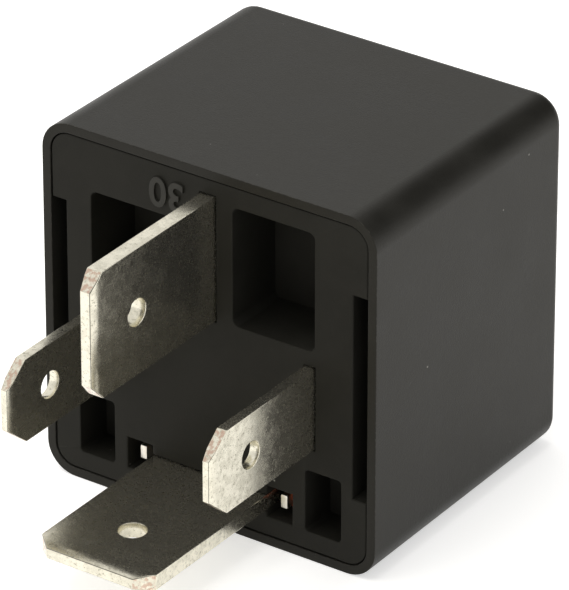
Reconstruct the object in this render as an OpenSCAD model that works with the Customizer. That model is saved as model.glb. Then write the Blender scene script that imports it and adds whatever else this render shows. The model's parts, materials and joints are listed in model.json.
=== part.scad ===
// Four-pin high-current automotive relay: snap-on cover, terminal base, coil with L-yoke,
// hinged armature with leaf spring, and a normally open contact pair.
// X runs across the terminal face, Y goes into the body, Z is up.
// The origin is the middle of the terminal face.

/* [Body] */
// Width and height of the square body at the rim
body_w = 27.5; // [26.5:0.5:34]
// Depth of the body from the terminal face to the cap
body_d = 23; // [21.5:0.5:30]
// Radius of the four long edges at the rim
corner_r = 2.3; // [1.4:0.1:3]
// Radius of the edge round the cap
cap_edge_r = 0.8; // [0.4:0.1:1.2]
// Wall of the cover
cover_wall = 0.7; // [0.5:0.05:0.9]
// Thickness of the cap
cap_wall = 0.9; // [0.6:0.1:1.4]
// Inward lean of each side wall from rim to cap
draft = 0.2; // [0:0.05:0.35]
// How far the rim stands proud of the terminal face
rim_lip = 0.05; // [0:0.05:0.2]

/* [Base] */
// Thickness of the terminal plate
base_t = 2; // [1.6:0.1:3]
// Gap between the base and the cover all round
base_gap = 0.06; // [0.03:0.01:0.12]
// Height of the base's inner skirt
skirt_d = 5; // [4.2:0.1:6]
// Wall of the skirt and of the pockets
skirt_wall = 0.8; // [0.6:0.1:1]
// Half width of the rib between the two large pockets
rib_half = 2.05; // [1.8:0.05:2.4]
// Width of the right large pocket
pocket_r_w = 6.65; // [5:0.05:7]
// Height of the right large pocket
pocket_r_h = 8.95; // [6:0.05:9.2]
// Width of the left large pocket
pocket_l_w = 7.65; // [5:0.05:8]
// Height of the left large pocket
pocket_l_h = 6.65; // [5:0.05:7.5]
// Distance from the base's upper edge to the right large pocket
top_inset = 1.54; // [1.3:0.02:1.8]
// Depth of the large pockets
pocket_d = 5; // [4.4:0.1:6]
// Corner radius of the pockets
pocket_r = 0.5; // [0.2:0.1:0.8]
// Distance from the base's side edges to the small lower pockets
side_inset = 2.09; // [1.9:0.01:2.5]
// Height of the small lower pockets
low_pocket_h = 4.75; // [3:0.05:5]
// Depth of the small lower pockets
low_pocket_d = 3; // [2:0.1:3.4]
// Distance from the base's lower edge to the lower pockets and the coil pin slots
low_inset = 1.44; // [1.2:0.02:1.6]
// Width of the coil pin slots
pin_slot_w = 2.1; // [1.9:0.05:2.3]
// Wall between the coil pin slots and the lower pockets
pin_slot_wall = 1.1; // [0.9:0.05:1.3]
// Height of the coil pin slots
pin_slot_h = 2.4; // [2:0.1:2.8]
// Length of the catch notch in each side of the base
notch_l = 15.6; // [12:0.2:18]
// Width of the catch notch
notch_w = 1.2; // [1:0.1:1.4]
// Depth of the catch notch
notch_d = 3.2; // [2.6:0.1:4]
// Height of the cover's catch
catch_h = 0.55; // [0.3:0.05:0.8]

/* [Blades] */
// Width of the two power blades
power_w = 9.5; // [8:0.5:9.5]
// Thickness of the two power blades
power_t = 1.2; // [0.8:0.1:1.4]
// Length of the power blades in front of the base
power_l = 13.85; // [11:0.05:16]
// Width of the two coil blades
coil_blade_w = 6.3; // [4.8:0.1:6.3]
// Thickness of the two coil blades
coil_blade_t = 0.8; // [0.5:0.1:1]
// Length of the coil blades in front of the base
coil_blade_l = 12; // [10:0.1:14]
// Radius of the detent hole in each blade
detent_r = 1; // [0.7:0.05:1.2]
// Distance of the power blades' detent hole from the base
power_detent = 8.9; // [7:0.1:10]
// Distance of the coil blades' detent hole from the base
coil_detent = 7.35; // [6:0.05:9]
// Distance from the base's upper edge to the middle of blade 30
blade30_inset = 5.94; // [5.8:0.02:6.1]
// Distance from the base's lower edge to the middle of blade 87
blade87_inset = 2.49; // [2.3:0.01:2.6]
// Distance from the coil pin slots to the middle of the coil blades
coil_blade_side = 1.4; // [1.3:0.05:1.6]
// Distance from the large pockets down to the middle of the coil blades
coil_blade_drop = 4.4; // [4.2:0.1:4.7]
// Gap between a blade and its slot
slot_gap = 0.05; // [0.03:0.01:0.1]

/* [Magnet] */
// Thickness of the yoke
yoke_t = 1.6; // [1.2:0.1:1.8]
// Width of the yoke and the armature
yoke_w = 12; // [11:0.5:13]
// Room between the yoke's leg and the cover
spring_room = 2.85; // [2.6:0.05:3.2]
// Share of the winding's radius that the core fills
core_share = 0.52; // [0.45:0.01:0.58]
// How far the core's pole head stands out over the core
pole_rim = 1.3; // [1:0.1:1.5]
// Thickness of the core's pole head
pole_t = 0.6; // [0.4:0.1:1]
// Thickness of the bobbin's flanges
flange_t = 1; // [0.7:0.1:1.3]
// Wall of the bobbin's tube
tube_wall = 0.75; // [0.5:0.05:1]
// How far the flanges stand out over the winding
flange_rim = 0.5; // [0.3:0.1:1]
// Radius of the coil wire
wire_r = 0.11; // [0.08:0.01:0.15]

/* [Contacts] */
// Thickness of the armature
armature_t = 1.4; // [1.1:0.1:1.6]
// Angle that the armature swings through
travel = 2.6; // [2:0.1:3]
// Thickness of the leaf spring
leaf_t = 0.25; // [0.15:0.05:0.3]
// Width of the leaf spring
leaf_w = 9.6; // [9:0.2:11]
// Radius of the contact buttons
contact_r = 2.2; // [1.6:0.1:2.4]
// Height of each contact button
contact_h = 0.9; // [0.6:0.1:1.1]
// Thickness of the stop bracket
stop_t = 0.5; // [0.4:0.1:0.7]
// Width of the stop bracket
stop_w = 5; // [4:0.2:6]
// Gap between the stop bracket and the blade in front of it
stop_gap = 0.45; // [0.35:0.05:0.6]
// Width of the shunt braid
braid_w = 3.4; // [2.4:0.2:3.6]
// Thickness of the shunt braid
braid_t = 0.6; // [0.4:0.1:0.7]
// Inner radius of the braid's bend behind the armature
braid_bend_r = 2; // [1.6:0.1:2.4]

/* [Hidden] */
$fn = 48;

seat_gap = 0.03;      // gap between pieces that seat on each other
run_gap = 0.03;       // gap left in the closed contact and at the pole
fit_gap = 0.02;       // gap round a shank in its hole
eps = 0.01;

// Body, across
half = body_w / 2;
inner_half = half - cover_wall;
base_half = inner_half - base_gap;
skirt_half = base_half - draft;

// Base, in depth
pocket_floor = 0.8;
floor_y = pocket_d + pocket_floor;
boss_y = low_pocket_d + pocket_floor;
notch_x = base_half + base_gap - notch_w;
pocket_z = base_half - top_inset - pocket_r_h;
low_edge_z = low_inset - base_half;
pin_slot_x0 = power_w / 2 + slot_gap;
pin_slot_x = pin_slot_x0 + pin_slot_w;
pin_slot_z = low_edge_z + pin_slot_h / 2;
low_pocket_x = pin_slot_x + pin_slot_wall;
low_pocket_w = base_half - side_inset - low_pocket_x;
blade30_z = base_half - blade30_inset;
blade87_z = blade87_inset - base_half;
coil_blade_x = pin_slot_x + coil_blade_side;
coil_blade_z = pocket_z - coil_blade_drop;

// Yoke and coil, in height
yoke_out_z = inner_half - spring_room;
yoke_in_z = yoke_out_z - yoke_t;
contact_z = blade87_z + power_t / 2 + 1.1;
shelf_z1 = contact_z + contact_r;
coil_side_gap = 0.4;
flange_r = (yoke_in_z - shelf_z1) / 2 - coil_side_gap;
coil_z = yoke_in_z - coil_side_gap - flange_r;
winding_r = flange_r - flange_rim;
core_r = winding_r * core_share;
tube_r = core_r + tube_wall;
pole_r = core_r + pole_rim;

// Stack in depth, from the cap down to the yoke
cap_in_y = body_d - cap_wall;
stop_room = 0.35;
stop_y = cap_in_y - stop_room - stop_t;
leaf_tip_z = blade87_z - power_t / 2 - 0.2;
stop_edge_z = leaf_tip_z + 0.8;
stop_z = blade87_z - power_t / 2 - stop_gap - stop_t;
hinge_y = stop_y - seat_gap - (armature_t + leaf_t) * cos(travel)
    - (yoke_out_z - leaf_tip_z) * sin(travel);
pole_y = hinge_y - run_gap;
shelf_y = hinge_y + armature_t - 2 * contact_h - run_gap - power_t;

// Stack in depth, from the base up
yoke_y = floor_y + seat_gap;
foot_y = yoke_y + yoke_t;
bobbin_y = foot_y + seat_gap;
winding_y = bobbin_y + flange_t;
bobbin_top = pole_y - pole_t - seat_gap;
winding_top = bobbin_top - flange_t;
neck_r = core_r - 1;
tenon_z0 = coil_z + neck_r + 1.2;
tenon_z1 = yoke_in_z - 0.4;

// Coil pins
pin_w = 0.55;
pin_h = 1.05;
pin_x = pin_slot_x - 1;
pin_z = pin_slot_z + 0.1;
pin_y = 0.5;
lug_w = 1.6;
wrap_wall = 2.2 * wire_r;
leg_y0 = boss_y + seat_gap;
leg_y1 = leg_y0 + 1.9;

// Rivets
rivet_r = 0.7;
rivet_head_r = 1.15;
rivet_head_h = 0.45;
rivet_inset = 1.5;
yoke_rivet_rise = 5.4;
armature_rivet_drop = 4.4;
rivet_x = leaf_w / 2 - rivet_inset;
yoke_rivet_y = yoke_y + yoke_rivet_rise;
armature_rivet_z = yoke_out_z - armature_rivet_drop;

// Soldered ends of the braid
braid_pad = 3;
foot_pad = 1.5;

// Leaf spring
leaf_bend_r = 1.25;
leaf_slant = 20;

// ---- helpers ----

// A profile drawn in X and Z, from depth y0 to y1
module along_y(y0, y1) {
    translate([0, y1, 0]) rotate([90, 0, 0]) linear_extrude(y1 - y0) children();
}

// A profile drawn in Y and Z, from x0 to x1
module along_x(x0, x1) {
    translate([x0, 0, 0]) rotate([90, 0, 90]) linear_extrude(x1 - x0) children();
}

// A rod along Y
module rod_y(r, y0, y1) {
    translate([0, y0, 0]) rotate([-90, 0, 0]) cylinder(r = r, h = y1 - y0);
}

// A rod along X through x0..x1
module rod_x(r, x0, x1) {
    translate([x0, 0, 0]) rotate([0, 90, 0]) cylinder(r = r, h = x1 - x0);
}

module box(x0, x1, y0, y1, z0, z1) {
    translate([x0, y0, z0]) cube([x1 - x0, y1 - y0, z1 - z0]);
}

// Rectangle with round corners between two corners
module round_rect(x0, x1, z0, z1, r) {
    translate([x0 + r, z0]) square([x1 - x0 - 2 * r, z1 - z0]);
    translate([x0, z0 + r]) square([x1 - x0, z1 - z0 - 2 * r]);
    for (x = [x0 + r, x1 - r], z = [z0 + r, z1 - r]) translate([x, z]) circle(r);
}

module mirrored_x() {
    children();
    mirror([1, 0, 0]) children();
}

// What rides on the armature is drawn closed and swung to its open rest place
module swung_open() {
    translate([0, hinge_y, yoke_out_z]) rotate([travel, 0, 0])
        translate([0, -hinge_y, -yoke_out_z]) children();
}

function arc(c, r, a0, a1, n) =
    [for (i = [0 : n]) let (a = a0 + (a1 - a0) * i / n) c + r * [cos(a), sin(a)]];

function heading(p, i) =
    let (a = p[max(i - 1, 0)], b = p[min(i + 1, len(p) - 1)]) (b - a) / norm(b - a);

// Outline of a strip of thickness t whose centre line is the path p
function strip(p, t) =
    let (n = [for (i = [0 : len(p) - 1]) let (h = heading(p, i)) [-h[1], h[0]]])
    concat([for (i = [0 : len(p) - 1]) p[i] + n[i] * t / 2],
           [for (i = [len(p) - 1 : -1 : 0]) p[i] - n[i] * t / 2]);

// ---- cover ----

// One corner post; its shrinking radius gives the walls their lean
module corner_post(r0, r1, edge_r, y0, y1) {
    profile = concat([[0, y0], [r0, y0]], arc([r1 - edge_r, y1 - edge_r], edge_r, 0, 90, 6),
                     [[0, y1]]);
    rotate([-90, 0, 0]) rotate_extrude($fn = 40) polygon(profile);
}

module rounded_body(h, r, edge_r, y0, y1) {
    hull() for (x = [-1, 1], z = [-1, 1])
        translate([x * (h - r), 0, z * (h - r)])
            corner_post(r, r - draft, edge_r, y0, y1);
}

// Ramp that snaps behind the base, one in each side notch
module cover_catch() {
    x0 = inner_half + eps;
    ramp = [[x0, notch_d - seat_gap], [inner_half - catch_h, notch_d - seat_gap],
            [inner_half - catch_h, notch_d - 0.7], [x0, notch_d - 1.9]];
    translate([0, 0, -notch_l * 0.3]) linear_extrude(notch_l * 0.6) polygon(ramp);
}

module cover() {
    color([0.23, 0.23, 0.22]) {
        difference() {
            rounded_body(half, corner_r, cap_edge_r, -rim_lip, body_d);
            rounded_body(inner_half, corner_r - cover_wall, cap_edge_r / 2,
                         -rim_lip - eps, cap_in_y);
        }
        mirrored_x() cover_catch();
    }
}

// ---- base ----

module power_slot() {
    square([power_t + 2 * slot_gap, power_w + 2 * slot_gap], center = true);
}

module base_slots() {
    y0 = -eps;
    y1 = floor_y + eps;
    translate([0, 0, blade30_z]) along_y(y0, y1) power_slot();
    translate([0, 0, blade87_z]) along_y(y0, y1) rotate(90) power_slot();
    mirrored_x() translate([coil_blade_x, 0, coil_blade_z]) along_y(y0, y1)
        square([coil_blade_t + 2 * slot_gap, coil_blade_w + 2 * slot_gap], center = true);
    mirrored_x() box(pin_slot_x0 - eps, pin_slot_x, y0, y1, low_edge_z, low_edge_z + pin_slot_h);
    box(-stop_w / 2 - slot_gap, stop_w / 2 + slot_gap, base_t / 2, y1,
        stop_z - slot_gap, stop_z + stop_t + slot_gap);
}

module base_pockets() {
    along_y(-eps, pocket_d) {
        round_rect(rib_half, rib_half + pocket_r_w, pocket_z, pocket_z + pocket_r_h, pocket_r);
        round_rect(-rib_half - pocket_l_w, -rib_half, pocket_z, pocket_z + pocket_l_h, pocket_r);
    }
    mirrored_x() along_y(-eps, low_pocket_d)
        round_rect(low_pocket_x, low_pocket_x + low_pocket_w, low_edge_z,
                   low_edge_z + low_pocket_h, pocket_r / 2);
}

module base_blocks() {
    w = skirt_wall;
    along_y(eps, floor_y) {
        round_rect(rib_half - w, rib_half + pocket_r_w + w, pocket_z - w,
                   pocket_z + pocket_r_h + w, pocket_r);
        round_rect(-rib_half - pocket_l_w - w, -rib_half + w, pocket_z - w,
                   pocket_z + pocket_l_h + w, pocket_r);
        translate([-rib_half, blade30_z - power_w / 2 - w])
            square([2 * rib_half, power_w + 2 * w]);
    }
    along_y(eps, boss_y) {
        for (s = [-1, 1]) {
            translate([s * coil_blade_x, coil_blade_z])
                square([coil_blade_t + 2.2 * w, coil_blade_w + 2 * w], center = true);
            translate([s * (low_pocket_x + low_pocket_w / 2), low_edge_z + low_pocket_h / 2])
                square([low_pocket_w + 1.4 * w, low_pocket_h + 2 * w], center = true);
        }
        translate([0, blade87_z])
            square([power_w + 2 * slot_gap, power_t + 2.4 * w], center = true);
    }
}

module base() {
    r = corner_r - cover_wall - base_gap;
    color([0.16, 0.15, 0.14]) difference() {
        union() {
            along_y(0, base_t) round_rect(-base_half, base_half, -base_half, base_half, r);
            along_y(base_t - eps, skirt_d) difference() {
                round_rect(-skirt_half, skirt_half, -skirt_half, skirt_half, r);
                round_rect(-skirt_half + skirt_wall, skirt_half - skirt_wall,
                           -skirt_half + skirt_wall, skirt_half - skirt_wall, r / 2);
            }
            mirrored_x() box(notch_x - skirt_wall, notch_x + eps, eps, skirt_d,
                             -notch_l / 2 - skirt_wall, notch_l / 2 + skirt_wall);
            base_blocks();
        }
        base_slots();
        base_pockets();
        mirrored_x() box(notch_x, half, -eps, notch_d, -notch_l / 2, notch_l / 2);
    }
}

// ---- terminals ----

// Blade tip: the corners are cut back by cy along the blade and cz across it
function blade_outline(l, w, cy, cz, y1) =
    [[y1, w / 2], [cy - l, w / 2], [-l, w / 2 - cz], [-l, cz - w / 2], [cy - l, -w / 2],
     [y1, -w / 2]];

// Edge view of a blade, with the thickness bevelled at the tip
function blade_edge(l, t, bevel_t, bevel_l, y1) =
    [[y1, t / 2], [bevel_l - l, t / 2], [-l, t / 2 - bevel_t], [-l, bevel_t - t / 2],
     [bevel_l - l, -t / 2], [y1, -t / 2]];

// A blade in the YZ plane, centred on its own middle, with its detent hole
module blade(l, w, t, cy, cz, bevel_t, bevel_l, hole_y, y1) {
    difference() {
        intersection() {
            along_x(-t, t) polygon(blade_outline(l, w, cy, cz, y1));
            translate([0, 0, -w]) linear_extrude(2 * w) rotate(90)
                mirror([0, 1]) polygon(blade_edge(l, t, bevel_t, bevel_l, y1));
        }
        translate([0, -hole_y, 0]) rod_x(detent_r, -t, t);
    }
}

module power_blade(y1) {
    blade(power_l, power_w, power_t, 1.1, 1.2, 0.2, 0.8, power_detent, y1);
}

module coil_blade(y1) {
    blade(coil_blade_l, coil_blade_w, coil_blade_t, 1.9, 1.6, 0.15, 0.7, coil_detent, y1);
}

module terminal_30() {
    color([0.55, 0.53, 0.45]) {
        translate([0, 0, blade30_z]) power_blade(yoke_y - seat_gap);
        box(-power_t / 2, power_t / 2, yoke_y - seat_gap - eps, foot_y,
            tenon_z0 + fit_gap, tenon_z1 - fit_gap);
    }
}

module terminal_87() {
    z0 = blade87_z - power_t / 2;
    leg_w = power_w - 0.5;
    inner_r = 0.4;
    leg = concat([[boss_y - eps, z0], [boss_y - eps, z0 + power_t]],
                 arc([shelf_y - inner_r, z0 + power_t + inner_r], inner_r, 270, 360, 6),
                 [[shelf_y, shelf_z1], [shelf_y + power_t, shelf_z1]],
                 arc([shelf_y - inner_r, z0 + power_t + inner_r], inner_r + power_t, 360, 270, 10));
    color([0.55, 0.53, 0.45]) {
        translate([0, 0, blade87_z]) rotate([0, 90, 0]) power_blade(boss_y);
        difference() {
            along_x(-leg_w / 2, leg_w / 2) polygon(leg);
            translate([0, 0, contact_z])
                rod_y(contact_r / 2 + fit_gap, shelf_y - 1, shelf_y + 2 * power_t);
        }
    }
}

// Blade with a leg along the base to its coil pin
module coil_terminal() {
    x0 = coil_blade_x - coil_blade_t / 2;
    z_tab = pin_z - coil_blade_t / 2;
    color([0.55, 0.53, 0.45]) {
        translate([coil_blade_x, 0, coil_blade_z]) coil_blade(leg_y0 + eps);
        box(x0, x0 + coil_blade_t, leg_y0, leg_y1, z_tab, coil_blade_z + coil_blade_w / 2 - 0.8);
        box(pin_x + pin_w / 2, x0 + eps, leg_y0, leg_y1, z_tab, z_tab + coil_blade_t);
    }
}

module terminal_85() {
    coil_terminal();
}

module terminal_86() {
    mirror([1, 0, 0]) coil_terminal();
}

// ---- magnet ----

module yoke_profile() {
    r = 1.4;
    end_z = coil_z - pole_r - 0.8;
    corner = [yoke_y, yoke_out_z - r];
    difference() {
        polygon([[yoke_y, end_z], [yoke_y, yoke_out_z], [pole_y, yoke_out_z],
                 [pole_y, yoke_in_z], [foot_y, yoke_in_z], [foot_y, end_z]]);
        difference() {
            translate(corner - [r, 0]) square(2 * r);
            translate(corner + [r, 0]) circle(r);
            translate(corner + [r, -r]) square(3 * r);
        }
    }
}

module yoke() {
    color([0.62, 0.62, 0.6]) difference() {
        along_x(-yoke_w / 2, yoke_w / 2) yoke_profile();
        translate([0, 0, coil_z]) rod_y(neck_r + fit_gap, yoke_y - 1, foot_y + 1);
        box(-power_t / 2 - fit_gap, power_t / 2 + fit_gap, yoke_y - 1, foot_y + 1, tenon_z0, tenon_z1);
        for (s = [-1, 1]) translate([s * rivet_x, yoke_rivet_y, yoke_in_z - 1])
            cylinder(r = rivet_r + fit_gap, h = yoke_t + 2);
    }
}

module core() {
    color([0.66, 0.66, 0.64]) translate([0, 0, coil_z]) {
        rod_y(neck_r, yoke_y + eps, foot_y + seat_gap + eps);
        rod_y(core_r, foot_y + seat_gap, pole_y - pole_t + eps);
        rod_y(pole_r, pole_y - pole_t, pole_y);
    }
}

// The lugs carry the coil pins beside the leg of terminal 87
module bobbin() {
    lug_x = pin_x - lug_w / 2;
    color([0.85, 0.83, 0.75]) difference() {
        union() {
            translate([0, 0, coil_z]) {
                rod_y(flange_r, bobbin_y, winding_y);
                rod_y(tube_r, bobbin_y, bobbin_top);
                rod_y(flange_r, winding_top, bobbin_top);
            }
            mirrored_x() box(lug_x, lug_x + lug_w, bobbin_y, winding_y,
                             pin_z - pin_h / 2 - 0.4, coil_z - flange_r * 0.3);
        }
        translate([0, 0, coil_z]) rod_y(core_r + fit_gap, bobbin_y - 1, bobbin_top + 1);
        mirrored_x() box(pin_x - pin_w / 2 - fit_gap, pin_x + pin_w / 2 + fit_gap, bobbin_y - 1,
                         winding_y + 1, pin_z - pin_h / 2 - fit_gap, pin_z + pin_h / 2 + fit_gap);
    }
}

module coil_winding() {
    color([0.45, 0.18, 0.1]) translate([0, 0, coil_z]) difference() {
        rod_y(winding_r, winding_y + seat_gap, winding_top - seat_gap);
        rod_y(tube_r + seat_gap, winding_y - 1, winding_top + 1);
    }
}

module coil_pin() {
    color([0.8, 0.78, 0.7])
        box(pin_x - pin_w / 2, pin_x + pin_w / 2, pin_y, winding_y,
            pin_z - pin_h / 2, pin_z + pin_h / 2);
}

module coil_pin_85() {
    coil_pin();
}

module coil_pin_86() {
    mirror([1, 0, 0]) coil_pin();
}

// Round wire swept along a path of points, with flat ends
module wire(path, r, sides = 8) {
    n = len(path);
    function side_vec(d) = abs(d[1]) > 0.9 ? [1, 0, 0] : [0, 1, 0];
    rings = [for (i = [0 : n - 1])
        let (a = path[max(i - 1, 0)], b = path[min(i + 1, n - 1)], d = (b - a) / norm(b - a),
             u0 = cross(d, side_vec(d)), u = u0 / norm(u0), v = cross(d, u))
        for (k = [0 : sides - 1]) path[i] + r * (cos(360 * k / sides) * u + sin(360 * k / sides) * v)];
    walls = [for (i = [0 : n - 2], k = [0 : sides - 1])
        let (a = i * sides + k, b = i * sides + (k + 1) % sides) [a, a + sides, b + sides, b]];
    caps = [[for (k = [0 : sides - 1]) k], [for (k = [sides - 1 : -1 : 0]) (n - 1) * sides + k]];
    polyhedron(points = rings, faces = concat(walls, caps), convexity = 4);
}

// The wire end: wound round its pin inside the slot, then up to the winding
module coil_lead(wrap_y) {
    wrap_l = 1.8;
    wrap_x = pin_x + pin_w / 2 + wrap_wall;
    wrap_z = pin_z + pin_h / 2 + wrap_wall;
    lead_x = pin_x + lug_w / 2 + 2 * wire_r;
    end_r = winding_r + wire_r;
    color([0.55, 0.2, 0.1]) {
        difference() {
            along_y(wrap_y, wrap_y + wrap_l)
                round_rect(pin_x - pin_w / 2 - wrap_wall, wrap_x,
                           pin_z - pin_h / 2 - wrap_wall, wrap_z, wrap_wall);
            box(pin_x - pin_w / 2 - fit_gap / 2, pin_x + pin_w / 2 + fit_gap / 2, wrap_y - 1,
                wrap_y + wrap_l + 1, pin_z - pin_h / 2 - fit_gap / 2, pin_z + pin_h / 2 + fit_gap / 2);
        }
        wire([[wrap_x - 2 * wire_r, wrap_y + wrap_l / 2, wrap_z - wire_r],
              [wrap_x - 2 * wire_r, wrap_y + wrap_l + 0.3, wrap_z - wire_r],
              [lead_x, leg_y0 + 1.2, wrap_z + wire_r],
              [lead_x, winding_y + 0.4, wrap_z + wire_r],
              [lead_x * 0.8, winding_y + 0.6, coil_z - end_r * 0.95],
              [end_r * 0.62, winding_y + 0.7, coil_z - end_r * 0.79]], wire_r);
    }
}

module coil_lead_85() {
    coil_lead(1.1);
}

module coil_lead_86() {
    mirror([1, 0, 0]) coil_lead(1.6);
}

// ---- armature and contacts ----

module armature() {
    end_z = coil_z - pole_r - 0.5;
    heel = 0.5;
    profile = [[hinge_y, end_z], [hinge_y, yoke_out_z], [hinge_y + armature_t - heel, yoke_out_z],
               [hinge_y + armature_t, yoke_out_z - heel], [hinge_y + armature_t, end_z]];
    color([0.66, 0.66, 0.64]) swung_open() difference() {
        along_x(-yoke_w / 2, yoke_w / 2) polygon(profile);
        for (s = [-1, 1]) translate([s * rivet_x, 0, armature_rivet_z])
            rod_y(rivet_r + fit_gap, hinge_y - 1, hinge_y + armature_t + 1);
        for (s = [-1, 1]) translate([s * yoke_w / 2, 0, end_z]) rotate([0, s * 45, 0])
            box(-1, 1, hinge_y - 1, hinge_y + armature_t + 1, -1, 1);
    }
}

// Path of the leaf in Y and Z: up the yoke, round the heel, along the tilted armature
function leaf_path() =
    let (n = [cos(travel), sin(travel)], d = [sin(travel), -cos(travel)],
         p = [hinge_y, yoke_out_z], lift = armature_t + leaf_t / 2,
         c = p + n * (lift - leaf_bend_r) + d * 0.3,
         z_limb = yoke_out_z + leaf_t / 2,
         start = c + leaf_bend_r * [-sin(leaf_slant), cos(leaf_slant)],
         run = (start[1] - z_limb) / tan(leaf_slant))
    concat([[yoke_rivet_y - 2.2, z_limb], [start[0] - run - 0.5, z_limb],
            [start[0] - run + 0.4, z_limb + 0.15]],
           arc(c, leaf_bend_r, 90 + leaf_slant, travel, 12),
           [p + n * lift + d * (yoke_out_z - leaf_tip_z)]);

module leaf_spring() {
    tip = 2 * contact_r + 1;
    color([0.72, 0.45, 0.25]) difference() {
        intersection() {
            along_x(-leaf_w / 2, leaf_w / 2) polygon(strip(leaf_path(), leaf_t));
            along_y(-body_d, 2 * body_d) polygon([
                [-leaf_w / 2, 2 * half], [leaf_w / 2, 2 * half],
                [leaf_w / 2, coil_z - 2], [tip / 2, coil_z - pole_r - 1.5],
                [tip / 2, -2 * half], [-tip / 2, -2 * half],
                [-tip / 2, coil_z - pole_r - 1.5], [-leaf_w / 2, coil_z - 2]]);
        }
        // window that softens the bend
        box(-leaf_w / 4, leaf_w / 4, hinge_y - 2, cap_in_y, yoke_out_z - 1.2, half);
        for (s = [-1, 1]) translate([s * rivet_x, yoke_rivet_y, yoke_out_z - 1])
            cylinder(r = rivet_r + fit_gap, h = 3);
        swung_open() {
            for (s = [-1, 1]) translate([s * rivet_x, 0, armature_rivet_z])
                rod_y(rivet_r + fit_gap, hinge_y, cap_in_y);
            translate([0, 0, contact_z]) rod_y(contact_r / 2 + fit_gap, hinge_y, cap_in_y);
        }
    }
}

// A rivet along Y: flush in what it holds, with a domed head at y1
module rivet_y(r, head_r, head_h, y0, y1) {
    rod_y(r, y0, y1 + eps);
    rod_y(head_r, y1, y1 + head_h / 2);
    translate([0, y1 + head_h / 2 - eps, 0]) rotate([-90, 0, 0])
        cylinder(r1 = head_r, r2 = head_r * 0.6, h = head_h / 2);
}

module armature_rivets() {
    color([0.75, 0.74, 0.7]) swung_open() for (s = [-1, 1])
        translate([s * rivet_x, 0, armature_rivet_z])
            rivet_y(rivet_r, rivet_head_r, rivet_head_h, hinge_y + fit_gap,
                    hinge_y + armature_t + leaf_t + fit_gap);
}

module yoke_rivets() {
    color([0.75, 0.74, 0.7]) for (s = [-1, 1])
        translate([s * rivet_x, yoke_rivet_y, 0]) rotate([90, 0, 0])
            rivet_y(rivet_r, rivet_head_r, rivet_head_h, yoke_in_z + fit_gap,
                    yoke_out_z + leaf_t + fit_gap);
}

module moving_contact() {
    y1 = hinge_y + armature_t;
    color([0.8, 0.8, 0.78]) swung_open() translate([0, 0, contact_z]) {
        rod_y(contact_r, y1 - contact_h, y1 - fit_gap);
        rod_y(contact_r / 2, y1 - contact_h / 2, y1 + leaf_t + fit_gap + eps);
        rod_y(contact_r * 0.6, y1 + leaf_t + fit_gap, y1 + leaf_t + 0.25);
    }
}

module fixed_contact() {
    y0 = shelf_y + power_t;
    color([0.8, 0.8, 0.78]) translate([0, 0, contact_z]) {
        rod_y(contact_r, y0 + fit_gap, y0 + contact_h);
        rod_y(contact_r / 2, shelf_y, y0 + contact_h / 2);
    }
}

// Bracket behind terminal 87; its hooked end stops the leaf's tip
module stop_bracket() {
    color([0.62, 0.62, 0.6]) along_x(-stop_w / 2, stop_w / 2) polygon([
        [base_t / 2, stop_z], [stop_y + stop_t, stop_z], [stop_y + stop_t, stop_edge_z],
        [stop_y, stop_edge_z], [stop_y, stop_z + stop_t], [base_t / 2, stop_z + stop_t]]);
}

// Copper braid from the yoke, over the bend, to the leaf above the pole
function braid_path() =
    let (n = [cos(travel), sin(travel)], d = [sin(travel), -cos(travel)],
         p = [hinge_y, yoke_out_z], lift = armature_t + leaf_t + seat_gap + braid_t / 2,
         reach = yoke_out_z - coil_z,
         pad = p + n * lift + d * reach, end = pad + d * braid_pad,
         top_y = cap_in_y - stop_room - braid_t / 2,
         out_z = inner_half - draft - seat_gap * 4 - braid_t / 2,
         z_pad = yoke_out_z + seat_gap + braid_t / 2)
    concat([end, pad, [top_y - 0.1, pad[1] + braid_pad]],
           arc([top_y - braid_bend_r, out_z - braid_bend_r], braid_bend_r, 0, 90, 6),
           [[yoke_rivet_y + 2 * braid_bend_r, out_z - 0.1],
            [yoke_rivet_y - braid_bend_r, z_pad + braid_t],
            [yoke_y + 2 * foot_pad, z_pad], [yoke_y + foot_pad, z_pad]]);

module shunt_braid() {
    color([0.7, 0.4, 0.22]) along_x(-braid_w / 2, braid_w / 2)
        polygon(strip(braid_path(), braid_t));
}

cover();
base();
terminal_30();
terminal_87();
terminal_85();
terminal_86();
yoke();
core();
bobbin();
coil_winding();
coil_pin_85();
coil_pin_86();
coil_lead_85();
coil_lead_86();
armature();
leaf_spring();
armature_rivets();
yoke_rivets();
moving_contact();
fixed_contact();
stop_bracket();
shunt_braid();
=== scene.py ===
# Plug-in relay: moulded cover and base, tin plated blades, and the coil, armature and contacts inside.
import json
from math import cos, pi, radians, sin, tau

import bpy
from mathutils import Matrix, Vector


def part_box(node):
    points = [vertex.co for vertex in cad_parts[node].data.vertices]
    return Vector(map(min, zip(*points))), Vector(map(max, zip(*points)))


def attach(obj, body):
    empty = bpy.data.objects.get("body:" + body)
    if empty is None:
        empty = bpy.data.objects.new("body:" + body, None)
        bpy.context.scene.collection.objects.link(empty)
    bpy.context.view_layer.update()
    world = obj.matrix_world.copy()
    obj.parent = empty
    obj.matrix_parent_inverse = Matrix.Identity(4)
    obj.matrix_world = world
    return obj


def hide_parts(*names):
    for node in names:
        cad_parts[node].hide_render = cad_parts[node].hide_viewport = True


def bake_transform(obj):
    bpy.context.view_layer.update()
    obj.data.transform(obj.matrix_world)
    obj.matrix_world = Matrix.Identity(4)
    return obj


MM = 0.001
HOUSING, ARMATURE = "housing", "armature"

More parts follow.
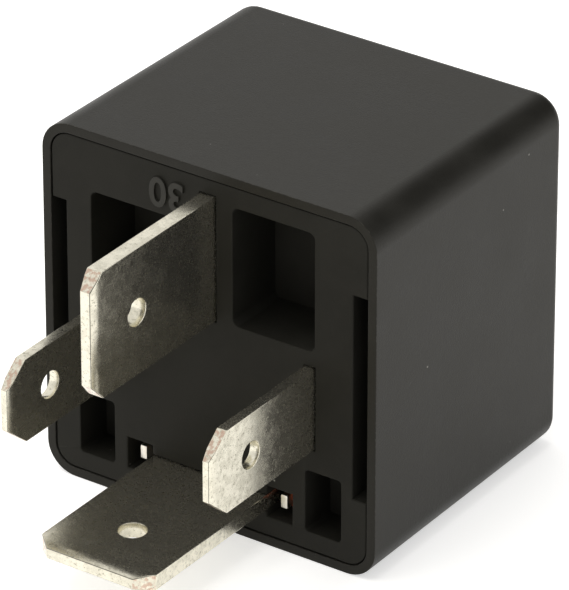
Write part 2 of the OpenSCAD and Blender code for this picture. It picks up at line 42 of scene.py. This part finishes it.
MERGE = 0.001 * MM          # corners nearer than this are one corner
FLAT = radians(0.5)         # faces that meet at less than this are one face
ROUNDED_FROM = radians(35)  # edges that meet at more than this are rounded
SMOOTH_BELOW = radians(40)
FLOOR_GAP = 0.02 * MM
RIM_DEPTH = 0.35            # millimetres of the cover behind its front edge that get painted shade on the front face and lighter patches on the rounded edges
TIP_CUT_END = -10.0         # Y in millimetres at which the blades' clipped tips begin
SPECK_SIZE = 1.5

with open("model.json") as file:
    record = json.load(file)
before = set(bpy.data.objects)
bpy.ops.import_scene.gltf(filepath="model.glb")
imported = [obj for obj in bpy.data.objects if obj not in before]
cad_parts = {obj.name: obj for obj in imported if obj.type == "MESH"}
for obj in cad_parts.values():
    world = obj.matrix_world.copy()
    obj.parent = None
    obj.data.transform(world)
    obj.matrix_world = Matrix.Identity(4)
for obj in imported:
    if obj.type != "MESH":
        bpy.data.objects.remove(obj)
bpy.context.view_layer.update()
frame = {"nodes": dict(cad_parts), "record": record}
scene = bpy.context.scene
scene.view_settings.view_transform = "Standard"


# ---- camera, light and floor ----

def place_camera():
    azimuth, elevation = radians(34.851), radians(28.747)
    back = Vector((sin(azimuth) * cos(elevation), -cos(azimuth) * cos(elevation), sin(elevation)))
    lens = bpy.data.cameras.new("camera")
    lens.lens = 401.44
    lens.sensor_width = 36
    lens.clip_start = 0.01
    camera = bpy.data.objects.new("camera", lens)
    scene.collection.objects.link(camera)
    camera.location = (0.226415, -0.316109, 0.217458)
    camera.rotation_mode = "QUATERNION"
    camera.rotation_quaternion = back.to_track_quat("Z", "Y")
    scene.camera = camera


class Signal:
    """A node's output, so that shader maths reads as plain expressions."""

    def __init__(self, finish, socket):
        self.finish, self.socket = finish, socket

    def maths(self, operation, *values):
        return self.finish.node("Math", {"operation": operation},
                                **{str(i): v for i, v in enumerate(values)})

    def __add__(self, other): return self.maths("ADD", self, other)
    def __radd__(self, other): return self.maths("ADD", other, self)
    def __sub__(self, other): return self.maths("SUBTRACT", self, other)
    def __rsub__(self, other): return self.maths("SUBTRACT", other, self)
    def __mul__(self, other): return self.maths("MULTIPLY", self, other)
    def __rmul__(self, other): return self.maths("MULTIPLY", other, self)
    def __abs__(self): return self.maths("ABSOLUTE", self)
    def above(self, level): return self.maths("GREATER_THAN", self, level)
    def most(self, other): return self.maths("MAXIMUM", self, other)
    def sine(self): return self.maths("SINE", self)

    def ramp(self, low, high, start=0.0, end=1.0):
        """start below low, end above high, and a soft step between them."""
        return self.finish.node("MapRange", {"interpolation_type": "SMOOTHSTEP"}, Value=self,
                                **{"From Min": low, "From Max": high, "To Min": start, "To Max": end})


class Finish:
    """A material with its own short ways to add nodes."""

    def __init__(self, name, tree=None):
        if tree is None:
            self.material = bpy.data.materials.new(name)
            self.material.use_nodes = True
            tree = self.material.node_tree
        tree.nodes.clear()
        self.tree = tree
        self.place = None

    def node(self, kind, settings=None, out=0, **values):
        made = self.tree.nodes.new("ShaderNode" + kind)
        for key, value in (settings or {}).items():
            setattr(made, key, value)
        for key, value in values.items():
            slot = made.inputs[int(key) if key.isdigit() else key.replace("_", " ")]
            if isinstance(value, Signal):
                self.tree.links.new(value.socket, slot)
            else:
                wide = getattr(slot.default_value, "__len__", lambda: 1)() == 4
                slot.default_value = (*value, 1) if wide and len(value) == 3 else value
        return Signal(self, made.outputs[out]) if len(made.outputs) else made

    def point(self, stretch=(1, 1, 1)):
        """Object coordinates in millimetres."""
        if self.place is None:
            self.place = self.node("TexCoord", out="Object")
        return self.node("Mapping", Vector=self.place, Scale=tuple(s / MM for s in stretch))

    def split(self, vector):
        parts = self.node("SeparateXYZ", Vector=vector).socket.node.outputs
        return [Signal(self, parts[i]) for i in range(3)]

    def axes(self):
        return self.split(self.point())

    def normal(self):
        return self.split(self.node("NewGeometry", out="Normal"))

    def noise(self, size, detail=2.0, rough=0.5, stretch=(1, 1, 1)):
        """Cloud noise whose lumps are about size millimetres across."""
        return self.node("TexNoise", Vector=self.point(stretch), Scale=1 / size, Detail=detail,
                         Roughness=rough)

    def cells(self, size, out="Distance"):
        """Distance to the nearest of points about size millimetres apart, or that point's place."""
        return self.node("TexVoronoi", out=out, Vector=self.point(), Scale=1 / size)

    def blend(self, amount, below, above):
        """Colour below where amount is 0, above where it is 1."""
        return self.node("Mix", {"data_type": "RGBA"}, out=2,
                         **{"0": amount, "6": below, "7": above})

    def bump(self, height, depth, under=None):
        """A surface raised by depth millimetres where height is 1."""
        values = {"Height": height, "Strength": 1.0, "Distance": depth * MM}
        if under is not None:
            values["Normal"] = under
        return self.node("Bump", **values)

    def surface(self, **values):
        shader = self.node("BsdfPrincipled", **values)
        self.node("OutputMaterial", Surface=shader)
        return self.material


def rays_seen(finish, first, *others):
    """1 for light rays of the named kinds, 0 for the rest."""
    rays = finish.node("LightPath").socket.node.outputs
    seen = Signal(finish, rays[f"Is {first} Ray"])
    for kind in others:
        seen = seen.most(Signal(finish, rays[f"Is {kind} Ray"]))
    return seen


def light_the_set(floor_z):
    """Even white surroundings, two softboxes, a white floor, and a dark screen at the back."""
    world = bpy.data.worlds.new("surroundings")
    world.use_nodes = True
    scene.world = world
    sky = Finish("", world.node_tree)
    seen = rays_seen(sky, "Camera", "Glossy", "Transmission")
    glow = sky.node("Background", Color=(1, 0.99, 0.97), Strength=seen * 0.45 + 0.55)
    sky.node("OutputWorld", Surface=glow)

    def softbox(name, place, size, watts):
        data = bpy.data.lights.new(name, "AREA")
        data.shape, data.size, data.energy, data.color = "SQUARE", size, watts, (1, 0.98, 0.95)
        lamp = bpy.data.objects.new(name, data)
        scene.collection.objects.link(lamp)
        lamp.location = place
        lamp.rotation_mode = "QUATERNION"
        lamp.rotation_quaternion = Vector(place).to_track_quat("Z", "Y")
        lamp.visible_glossy = False

    softbox("softbox_over", (-0.15, -0.1, 0.7), 0.6, 3.2)
    softbox("softbox_left", (-0.6, -0.35, 0.3), 0.4, 1.0)

    bpy.ops.mesh.primitive_plane_add(size=4, location=(0, 0, floor_z))
    floor = bpy.context.object
    floor.name = "floor"
    paper = Finish("paper")
    seen = rays_seen(paper, "Camera", "Glossy")
    shade = paper.surface(Base_Color=(0.82, 0.815, 0.805), Roughness=1.0, Specular_IOR_Level=0.0,
                          Emission_Color=(1, 1, 1), Emission_Strength=seen * 0.55)
    floor.data.materials.append(shade)

    bpy.ops.mesh.primitive_plane_add(size=0.70, location=(0.20, 0.43, 0.36))
    screen = bpy.context.object
    screen.name = "dark_screen"
    screen.rotation_mode = "QUATERNION"
    screen.rotation_quaternion = Vector((0.34, 0.72, 0.60)).to_track_quat("Z", "Y")
    felt = Finish("felt")
    screen.data.materials.append(felt.surface(Base_Color=(0.01, 0.01, 0.01), Roughness=1.0,
                                              Specular_IOR_Level=0.0))
    screen.visible_camera = screen.visible_diffuse = screen.visible_shadow = False


# ---- finishes ----

def moulded_plastic(name, colour, sheen, gloss, grain, grain_depth, dust, front_shade_and_pale_edges=False):
    """Moulded plastic with an eroded-tool grain, faint clouds and a few specks of dust, and, when the
    front is to be shaded, painted shade darkening the front face of the rim and lighter patches on its
    rounded front edges."""
    f = Finish(name)
    clouds = f.noise(4.5, 3)
    fine = f.noise(grain, 3, 0.6)
    cloth = f.noise(0.9, 2)
    pale = tuple(c * 1.3 + 0.002 for c in colour)
    shade = f.blend(clouds.ramp(0.3, 0.7), colour, pale)
    shade = f.blend(cloth.ramp(0.45, 0.75) * 0.35, shade, pale)
    speck = f.cells(SPECK_SIZE)
    spread = f.node("TexWhiteNoise", Vector=f.cells(SPECK_SIZE, "Position"))
    dot = speck.ramp(0.035, 0.06, 1, 0) * spread.above(1 - dust)
    shade = f.blend(dot, shade, (0.24, 0.235, 0.21))
    if front_shade_and_pale_edges:
        facing = abs(f.normal()[1])
        edge_slope = facing.ramp(0.12, 0.35) * facing.ramp(0.85, 0.97, 1, 0)
        front = f.axes()[1].ramp(0.0, RIM_DEPTH, 1, 0)
        pale_edge_patches = edge_slope * front * f.noise(0.30, 3).ramp(0.50, 0.64)
        # painted shade: the front face of the rim, near the front edge, is darkened where it faces
        # along Y
        shade = f.blend(facing.ramp(0.9, 0.98) * front, shade, (0.0095, 0.0088, 0.0068))
        # lighter patches, broken up by noise, on the rounded edges near the front
        shade = f.blend(pale_edge_patches * 0.8, shade, (0.10, 0.096, 0.086))
    rough = gloss + clouds.ramp(0.3, 0.7) * 0.06 + (fine - 0.5) * 0.12
    surface = f.bump(fine, grain_depth, f.bump(cloth, 0.004))
    return f.surface(Base_Color=shade, Roughness=rough, Specular_IOR_Level=sheen,
                     Specular_Tint=(1.0, 0.975, 0.87), Normal=surface)


def tin_plate(name, thickness_axis):
    """Dull tin over copper: mottled, speckled and thin on the clipped corners, with painted
    shade along the rounded edge at the tip. The blade's thickness runs along thickness_axis."""
    f = Finish(name)
    bright, dull = (0.79, 0.755, 0.635), (0.68, 0.65, 0.54)
    stain, copper = (0.26, 0.25, 0.18), (0.50, 0.31, 0.23)
    mottle = f.noise(0.8, 4, 0.65)
    spots = f.noise(0.20, 3, 0.7)
    drawn = f.noise(0.5, 3, 0.6, stretch=(3.0, 0.12, 3.0))
    grit = f.noise(0.075, 2, 0.6)
    shade = f.blend(mottle.ramp(0.40, 0.60), bright, dull)
    shade = f.blend(spots.ramp(0.55, 0.68) * 0.55, shade, stain)
    shade = f.blend(drawn.ramp(0.60, 0.72) * 0.30, shade, bright)
    pits = f.cells(0.38).ramp(0.05, 0.16, 1, 0) * f.noise(0.7).ramp(0.5, 0.6)
    shade = f.blend(pits * 0.6, shade, stain)
    normal = f.normal()
    facing, thick = abs(normal[1]), abs(normal[thickness_axis])
    tip = f.axes()[1].ramp(TIP_CUT_END - 0.2, TIP_CUT_END, 1, 0)
    slanted = facing.ramp(0.45, 0.55) * facing.ramp(0.86, 0.94, 1, 0)
    clipped = slanted * thick.ramp(0.1, 0.2, 1, 0) * tip
    shade = f.blend(clipped * f.noise(0.35, 3).ramp(0.42, 0.6) * 0.7, shade, copper)
    eased = facing.ramp(0.40, 0.55) * facing.ramp(0.86, 0.95, 1, 0)
    painted_tip_shade = eased * thick.ramp(0.2, 0.35) * tip
    # painted shade: a dark line along the tip's rounded edges, between the end face and the bevel
    # strip
    shade = f.blend(painted_tip_shade * 0.85, shade, (0.06, 0.055, 0.04))
    rough = 0.19 + mottle.ramp(0.35, 0.65) * 0.08 + spots.ramp(0.55, 0.7) * 0.14 + painted_tip_shade * 0.3
    surface = f.bump(grit, 0.0006, f.bump(spots, 0.0014, f.bump(pits, -0.004)))
    return f.surface(Base_Color=shade, Metallic=0.955, Roughness=rough, Normal=surface)


def rolled_metal(name, colour, dark, gloss, lines=(3, 0.1, 3), depth=0.004, metal=1.0):
    """Sheet metal with rolling lines, faint stains and fine pits."""
    f = Finish(name)
    roll = f.noise(0.4, 3, 0.6, stretch=lines)
    stain = f.noise(1.6, 3, 0.6)
    pits = f.cells(0.5).ramp(0.04, 0.14, 1, 0) * f.noise(0.8).ramp(0.5, 0.62)
    shade = f.blend(stain.ramp(0.4, 0.68), colour, dark)
    shade = f.blend(roll.ramp(0.5, 0.7) * 0.4, shade, dark)
    shade = f.blend(pits * 0.6, shade, tuple(c * 0.3 for c in dark))
    rough = gloss + roll * 0.12 + stain.ramp(0.4, 0.7) * 0.08
    return f.surface(Base_Color=shade, Metallic=metal, Roughness=rough,
                     Normal=f.bump(roll, depth, f.bump(pits, -0.01)))


def woven_copper(name, colour, dark):
    """Flat copper braid: bundles of fine wires that cross on the slant."""
    f = Finish(name)
    x, y, z = f.axes()
    along = y + z
    rows = tau / 0.55
    wires = rows * 4
    one, two = ((x + along) * rows).sine(), ((x - along) * rows).sine()
    weave = (one * two) * 0.5 + 0.5
    over, under = ((x + along) * wires).sine(), ((x - along) * wires).sine()
    strands = (over * weave + under * (1 - weave)) * 0.5
    shade = f.blend(weave.ramp(0.1, 0.6), dark, colour)
    shade = f.blend(f.noise(1.2).ramp(0.45, 0.7) * 0.5, shade, dark)
    rough = 0.30 + f.noise(0.3) * 0.12
    return f.surface(Base_Color=shade, Metallic=1.0, Roughness=rough,
                     Normal=f.bump(strands, 0.02, f.bump(weave, 0.08)))


place_camera()
low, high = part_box("cover")
light_the_set(low.z - FLOOR_GAP)

FINISHES = {
    "cover_plastic": moulded_plastic("cover_plastic", (0.0150, 0.0145, 0.0125), 0.19, 0.40,
                                     0.11, 0.016, 0.16, front_shade_and_pale_edges=True),
    "base_plastic": moulded_plastic("base_plastic", (0.0125, 0.0121, 0.0100), 0.13, 0.56,
                                    0.14, 0.014, 0.05),
    "tinned_copper": tin_plate("tinned_copper", 0),
    "magnet_iron": rolled_metal("magnet_iron", (0.56, 0.56, 0.54), (0.34, 0.34, 0.33), 0.30),
    "bobbin_plastic": moulded_plastic("bobbin_plastic", (0.62, 0.57, 0.43), 0.45, 0.34,
                                      0.2, 0.004, 0.0),
    "copper_wire": rolled_metal("copper_wire", (0.46, 0.10, 0.04), (0.30, 0.06, 0.025), 0.24,
                                (1, 1, 1), 0.001, 0.85),
    "pin_metal": rolled_metal("pin_metal", (0.82, 0.79, 0.70), (0.6, 0.57, 0.48), 0.3),
    "spring_bronze": rolled_metal("spring_bronze", (0.66, 0.37, 0.18), (0.45, 0.23, 0.11), 0.25),
    "rivet_metal": rolled_metal("rivet_metal", (0.68, 0.67, 0.63), (0.42, 0.41, 0.38), 0.25),
    "contact_silver": rolled_metal("contact_silver", (0.80, 0.79, 0.76), (0.52, 0.51, 0.48),
                                   0.32, (1, 1, 1)),
    "bracket_steel": rolled_metal("bracket_steel", (0.52, 0.51, 0.47), (0.30, 0.29, 0.27), 0.32),
    "braid_copper": woven_copper("braid_copper", (0.66, 0.32, 0.17), (0.22, 0.08, 0.04)),
}
TIN_FLAT_BLADE = tin_plate("tinned_copper_flat_blade", 2)
# painted highlight: a lighter, glossier copy of the base plastic for the raised digits
LIT_NUMBER_PLASTIC = moulded_plastic("base_plastic_lit_number", (0.020, 0.0195, 0.0170), 0.26, 0.50,
                                 0.14, 0.010, 0.05)
SLOTS = {part["node"]: part["material_slot"] for part in frame["record"]["subparts"]}


# ---- modelling helpers ----

def select_only(piece):
    bpy.ops.object.select_all(action="DESELECT")
    piece.select_set(True)
    bpy.context.view_layer.objects.active = piece


def add_modifier(piece, kind, **settings):
    modifier = piece.modifiers.new(kind.lower(), kind)
    for key, value in settings.items():
        setattr(modifier, key, value)
    select_only(piece)
    bpy.ops.object.modifier_apply(modifier=modifier.name)


def finish_piece(piece, name, node, body):
    """Names the piece, and gives it the node's finish and body."""
    piece.name = piece.data.name = name
    piece.data.materials.clear()
    piece.data.materials.append(FINISHES[SLOTS[node]])
    if body:
        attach(piece, body)
    return piece


def mark_low_creases(mesh, crease, shortest=1.5 * MM, highest=radians(34)):
    """Marks long lines whose faces meet at crease degrees or more, but too flat to be rounded."""
    faces = {}
    for face in mesh.polygons:
        for key in face.edge_keys:
            faces.setdefault(key, []).append(face.normal)
    for line in mesh.edges:
        ends = [mesh.vertices[v].co for v in line.vertices]
        pair = faces.get(tuple(sorted(line.vertices)), [])
        if len(pair) == 2 and (ends[0] - ends[1]).length > shortest:
            line.use_edge_sharp = radians(crease) < pair[0].angle(pair[1]) < highest


def weigh_front_edges(mesh, reach=0.02 * MM):
    """Marks the lines of the face at the origin, so that only they are rounded."""
    weights = mesh.attributes.new("bevel_weight_edge", "FLOAT", "EDGE")
    for line in mesh.edges:
        if all(abs(mesh.vertices[v].co.y) < reach for v in line.vertices):
            weights.data[line.index].value = 1.0


def soften(node, name, body, edge, crease=None, front_only=False):
    """A copy of a CAD node with its loose triangles joined and its sharp edges rounded.
    Long lines whose faces meet at a low angle of crease degrees or more stay crisp, and with
    front_only just the edges of the face at the origin are rounded."""
    source = frame["nodes"][node]
    piece = bpy.data.objects.new(name, source.data.copy())
    scene.collection.objects.link(piece)
    for key in list(piece.keys()):
        del piece[key]
    select_only(piece)
    bpy.ops.object.mode_set(mode="EDIT")
    bpy.ops.mesh.select_all(action="SELECT")
    bpy.ops.mesh.customdata_custom_splitnormals_clear()
    bpy.ops.mesh.remove_doubles(threshold=MERGE)
    bpy.ops.mesh.dissolve_limited(angle_limit=FLAT)
    bpy.ops.object.mode_set(mode="OBJECT")
    if crease:
        mark_low_creases(piece.data, crease)
    if front_only:
        weigh_front_edges(piece.data)
    add_modifier(piece, "BEVEL", width=edge * MM, segments=2,
                 limit_method="WEIGHT" if front_only else "ANGLE",
                 angle_limit=ROUNDED_FROM, use_clamp_overlap=False, harden_normals=False,
                 miter_outer="MITER_ARC")
    select_only(piece)
    bpy.ops.object.shade_smooth_by_angle(angle=SMOOTH_BELOW)
    add_modifier(piece, "WEIGHTED_NORMAL", keep_sharp=True, weight=100)
    finish_piece(piece, name, node, body)
    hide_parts(node)
    return piece


bpy.ops.object.select_all(action="DESELECT")
BODY = {n: b for b, group in frame["record"]["behaviour"]["bodies"].items() for n in group}
LOW_CREASE = 8
# Rounding of each piece's edges in millimetres
EDGES = {
    "cover": 0.07, "base": 0.13,
    "terminal_30": 0.075, "terminal_87": 0.075, "terminal_85": 0.055, "terminal_86": 0.055,
    "yoke": 0.12, "core": 0.1, "bobbin": 0.12, "coil_pin_85": 0.08, "coil_pin_86": 0.08,
    "armature": 0.1, "armature_rivets": 0.06, "yoke_rivets": 0.06,
    "moving_contact": 0.12, "fixed_contact": 0.12, "stop_bracket": 0.08,
}
for node, edge in EDGES.items():
    soften(node, node + "_finished", BODY[node], edge,
           crease=LOW_CREASE if "terminal" in node else None, front_only=node == "base")
bpy.data.objects["terminal_87_finished"].data.materials[0] = TIN_FLAT_BLADE


# ---- number beside the blade ----

def raised_number(name, digits, left, right, bottom, top, proud=0.15):
    """Digits that fill the given box on the base's face, stand proud of it and are upside down,
    as they are moulded. All lengths are in millimetres."""
    bpy.ops.object.text_add(location=(0, 0, 0), rotation=(radians(90), radians(180), 0))
    label = bpy.context.object
    label.data.body = digits
    label.data.align_x, label.data.align_y = "CENTER", "CENTER"
    label.data.extrude = 0.5
    label.data.bevel_depth = 0.02
    label.data.bevel_resolution = 1
    label.data.resolution_u = 6
    select_only(label)
    bpy.ops.object.convert(target="MESH")
    label = bpy.context.object
    bpy.ops.object.transform_apply(location=True, rotation=True, scale=True)
    corners = [v.co.copy() for v in label.data.vertices]
    lows = [min(c[i] for c in corners) for i in range(3)]
    highs = [max(c[i] for c in corners) for i in range(3)]
    wanted = ((left, right), (-proud, 0.03), (bottom, top))
    for vertex in label.data.vertices:
        vertex.co = [(a + (b - a) * (vertex.co[i] - lows[i]) / (highs[i] - lows[i])) * MM
                     for i, (a, b) in enumerate(wanted)]
    select_only(label)
    bpy.ops.object.mode_set(mode="EDIT")
    bpy.ops.mesh.select_all(action="SELECT")
    bpy.ops.mesh.remove_doubles(threshold=MERGE)
    bpy.ops.object.mode_set(mode="OBJECT")
    bpy.ops.object.shade_smooth_by_angle(angle=SMOOTH_BELOW)
    finish_piece(label, name, "base", HOUSING)
    # the digits take the lighter copy of the base plastic, a painted highlight
    label.data.materials[0] = LIT_NUMBER_PLASTIC


raised_number("number_30", "30", -4.72, -1.94, 9.74, 12.0)


# ---- coil ----

def wound_coil():
    """The winding as one body of turns, turned from a scalloped outline."""
    low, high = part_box("coil_winding")
    centre = (low + high) / 2
    outer = (high.x - low.x) / 2
    inner, wire = 4.28 * MM, 0.11 * MM
    facets, steps = 5, 72
    turns = int((high.y - low.y) / (2 * wire))
    step = (high.y - low.y) / turns
    outline = [(inner, high.y), (inner, low.y)]
    for turn in range(turns):
        for part in range(facets):
            a = pi * part / facets
            outline.append((outer - wire + wire * sin(a),
                            low.y + step * (turn + 0.5 - 0.5 * cos(a))))
    outline.append((outer - wire, high.y))
    bpy.ops.mesh.primitive_circle_add(vertices=len(outline), radius=outer)
    coil = bpy.context.object
    for vertex, (radius, y) in zip(coil.data.vertices, outline):
        vertex.co = (centre.x + radius, y, centre.z)
    select_only(coil)
    bpy.ops.object.mode_set(mode="EDIT")
    bpy.ops.mesh.select_all(action="SELECT")
    bpy.ops.mesh.spin(steps=steps, angle=tau, center=centre, axis=(0, 1, 0))
    bpy.ops.mesh.select_all(action="SELECT")
    bpy.ops.mesh.remove_doubles(threshold=MERGE)
    bpy.ops.mesh.normals_make_consistent(inside=False)
    bpy.ops.object.mode_set(mode="OBJECT")
    bpy.ops.object.shade_smooth_by_angle(angle=radians(60))
    finish_piece(coil, "wound_coil", "coil_winding", HOUSING)
    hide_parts("coil_winding")


def smooth_path(points, steps):
    """Points on a smooth curve through the given ones."""
    ends = [2 * points[0] - points[1]] + points + [2 * points[-1] - points[-2]]
    path = []
    for i in range(1, len(ends) - 2):
        a, b, c, d = ends[i - 1:i + 3]
        for k in range(steps):
            t = k / steps
            path.append(0.5 * (2 * b + (c - a) * t + (2 * a - 5 * b + 4 * c - d) * t * t
                               + (3 * b - a - 3 * c + d) * t ** 3))
    return path + [points[-1]]


def coil_lead(node, side, wrap_y):
    """Wire end: seven square turns round its pin, then back to the winding."""
    pin_x, pin_z, half_w, half_h, wire = 5.9, -10.25, 0.4, 0.65, 0.108
    turns, per_turn, past_last, pitch = 7, 20, 6, 0.245
    way_back = [(6.5, 3.9, -9.5), (6.92, 5.03, -9.37), (6.92, 7.2, -9.37), (6.85, 8.7, -9.1),
                (6.1, 9.05, -7.1), (5.45, 9.1, -5.2), (4.3, 9.16, -4.45)]

    def eased(c):
        """A cosine or sine with squarer turns."""
        return (abs(c) ** 0.45) * (1 if c >= 0 else -1)

    path = []
    for i in range(turns * per_turn + past_last):
        a = tau * i / per_turn
        path.append(Vector((pin_x + half_w * eased(cos(a)), wrap_y + 0.11 + pitch * i / per_turn,
                            pin_z + half_h * eased(sin(a)))))
    path += smooth_path([path[-1]] + [Vector(spot) for spot in way_back], 5)[1:]
    data = bpy.data.curves.new(node, "CURVE")
    data.dimensions = "3D"
    data.bevel_depth = wire * MM
    data.bevel_resolution = 2
    data.use_fill_caps = True
    line = data.splines.new("POLY")
    line.points.add(len(path) - 1)
    for point, spot in zip(line.points, path):
        point.co = (side * spot.x * MM, spot.y * MM, spot.z * MM, 1)
    lead = bpy.data.objects.new(node, data)
    scene.collection.objects.link(lead)
    select_only(lead)
    bpy.ops.object.convert(target="MESH")
    lead = bpy.context.object
    bpy.ops.object.shade_smooth()
    finish_piece(lead, node + "_wound", node, HOUSING)
    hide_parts(node)


wound_coil()
coil_lead("coil_lead_85", 1, 1.1)
coil_lead("coil_lead_86", -1, 1.6)


# ---- leaf spring and braid, with no body ----

def bending(node, name, edge):
    """A softened copy of the node, with no body, and its place baked into its mesh."""
    piece = soften(node, name, None, edge)
    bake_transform(piece)


bending("leaf_spring", "leaf_spring_rolled", 0.03)
bending("shunt_braid", "shunt_braid_woven", 0.12)
